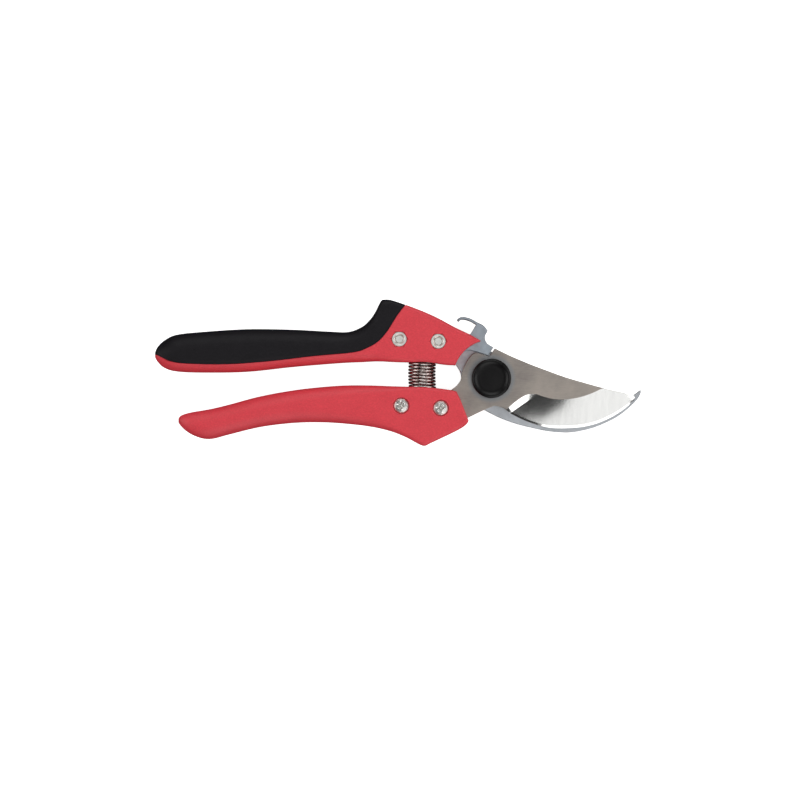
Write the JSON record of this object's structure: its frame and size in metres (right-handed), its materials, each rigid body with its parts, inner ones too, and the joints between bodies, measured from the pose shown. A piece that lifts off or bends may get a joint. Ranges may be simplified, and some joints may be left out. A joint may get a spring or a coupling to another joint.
{
  "type": "pruning shears",
  "caption": "Bypass pruning shears with a curved cutting blade, a hooked counter blade, two handles, a return spring and a thumb latch.",
  "frame": {"origin": "middle of the footprint, on the surface that the closed shears lie on", "axes": "+X towards the blade tip, +Z out of the cap side, +Y towards the handle with the soft grip"},
  "size_m": [0.2051, 0.0616, 0.017],
  "materials": {
    "handle_plastic": "fine-textured moulded glass-filled nylon",
    "soft_grip": "matte overmoulded elastomer",
    "cap_plastic": "satin moulded nylon",
    "nylon": "natural nylon washer",
    "blade_steel": "satin flat with a polished hollow grind",
    "counter_steel": "tumbled forged steel",
    "latch_steel": "blued pressed sheet",
    "spring_steel": "bright drawn wire",
    "fastener_steel": "bright zinc plate"
  },
  "bodies": {
    "upper_half": {"upper_handle": "handle_plastic", "upper_grip": "soft_grip", "counter_blade": "counter_steel", "pivot_bolt": "fastener_steel", "pivot_spring_washer": "fastener_steel", "pivot_washer": "fastener_steel", "pivot_nut": "fastener_steel", "pivot_cap": "cap_plastic", "latch_bush": "fastener_steel", "latch_washer": "nylon", "return_spring": "spring_steel", "upper_front_screw": "fastener_steel", "upper_front_nut": "fastener_steel", "upper_rear_screw": "fastener_steel", "upper_rear_nut": "fastener_steel"},
    "lower_half": {"lower_handle": "handle_plastic", "cutting_blade": "blade_steel", "lower_front_screw": "fastener_steel", "lower_front_nut": "fastener_steel", "lower_rear_screw": "fastener_steel", "lower_rear_nut": "fastener_steel"},
    "latch": {"latch": "latch_steel"}
  },
  "joints": [
    {"name": "jaw_pivot", "type": "hinge", "parent": "upper_half", "child": "lower_half", "pos_m": [0.03915, -0.0024, 0.01], "axis": [0, 0, 1], "range_deg": [0, 28], "deforming": ["return_spring"]},
    {"name": "latch_pivot", "type": "hinge", "parent": "upper_half", "child": "latch", "pos_m": [0.01675, 0.0132, 0.01], "axis": [0, 0, 1], "range_deg": [0, 33.6]}
  ],
  "couplings": [
    {"joint": "latch_pivot", "follows": "jaw_pivot", "ratio": 1.2}
  ]
}
